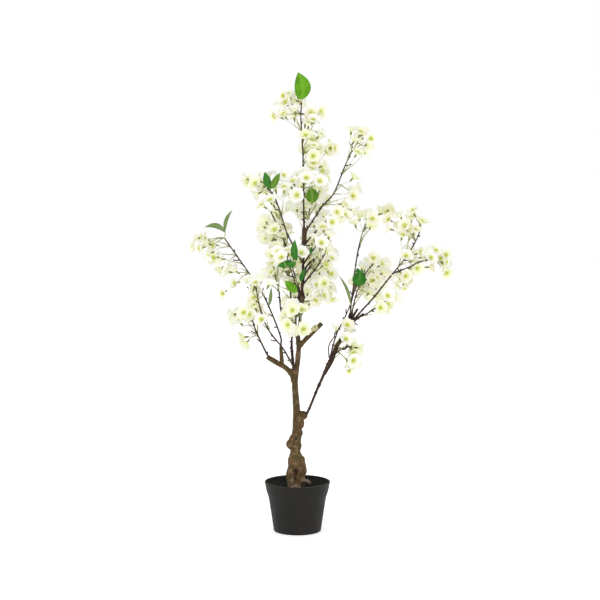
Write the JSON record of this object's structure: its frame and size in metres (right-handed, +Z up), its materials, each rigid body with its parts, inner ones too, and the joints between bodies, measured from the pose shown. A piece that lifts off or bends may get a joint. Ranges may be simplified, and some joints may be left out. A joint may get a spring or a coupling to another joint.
{
  "type": "artificial cherry blossom tree in a pot",
  "caption": "Slim artificial cherry tree with a knobby moulded trunk and wire stems that carry sprays of white double blossom and a few leaves, in a black plastic nursery pot.",
  "frame": {"origin": "centre of the pot's flat underside", "axes": "+Z up the trunk, +X to the right and -Y to the front, as the picture shows the tree"},
  "size_m": [0.6653, 0.3718, 1.2],
  "materials": {
    "pot": "matte black moulded",
    "fill": "rough dark brown topping over cement",
    "bark": "moulded bark, olive brown on the trunk and darker on the stems",
    "blossom": "white woven petals on thin green stalks, with a few green leaves"
  },
  "bodies": {
    "root": {"back_centre_blossom": "blossom", "back_centre_bough": "bark", "back_left_blossom": "blossom", "back_left_bough": "bark", "back_low_blossom": "blossom", "back_low_bough": "bark", "back_upper_blossom": "blossom", "back_upper_bough": "bark", "centre_blossom": "blossom", "centre_bough": "bark", "centre_front_blossom": "blossom", "centre_front_bough": "bark", "centre_left_blossom": "blossom", "centre_left_bough": "bark", "centre_low_blossom": "blossom", "centre_right_blossom": "blossom", "crown_bough": "bark", "cut_bough": "bark", "front_right_blossom": "blossom", "front_right_bough": "bark", "inner_right_blossom": "blossom", "leader_blossom": "blossom", "leader_bough": "bark", "left_bough": "bark", "left_front_blossom": "blossom", "left_front_bough": "bark", "left_outer_blossom": "blossom", "left_outer_bough": "bark", "low_centre_blossom": "blossom", "low_centre_bough": "bark", "low_left_blossom": "blossom", "low_left_bough": "bark", "mid_left_blossom": "blossom", "mid_left_bough": "bark", "pot": "pot", "pot_fill": "fill", "right_back_blossom": "blossom", "right_back_bough": "bark", "right_bough": "bark", "right_front_blossom": "blossom", "right_front_bough": "bark", "right_inner_blossom": "blossom", "right_inner_bough": "bark", "right_low_blossom": "blossom", "right_mid_blossom": "blossom", "right_outer_blossom": "blossom", "right_outer_bough": "bark", "right_tall_blossom": "blossom", "right_tall_bough": "bark", "right_tip_blossom": "blossom", "right_tip_bough": "bark", "trunk": "bark", "upper_left_blossom": "blossom", "upper_left_bough": "bark", "upper_right_blossom": "blossom", "upper_right_bough": "bark"}
  },
  "joints": []
}
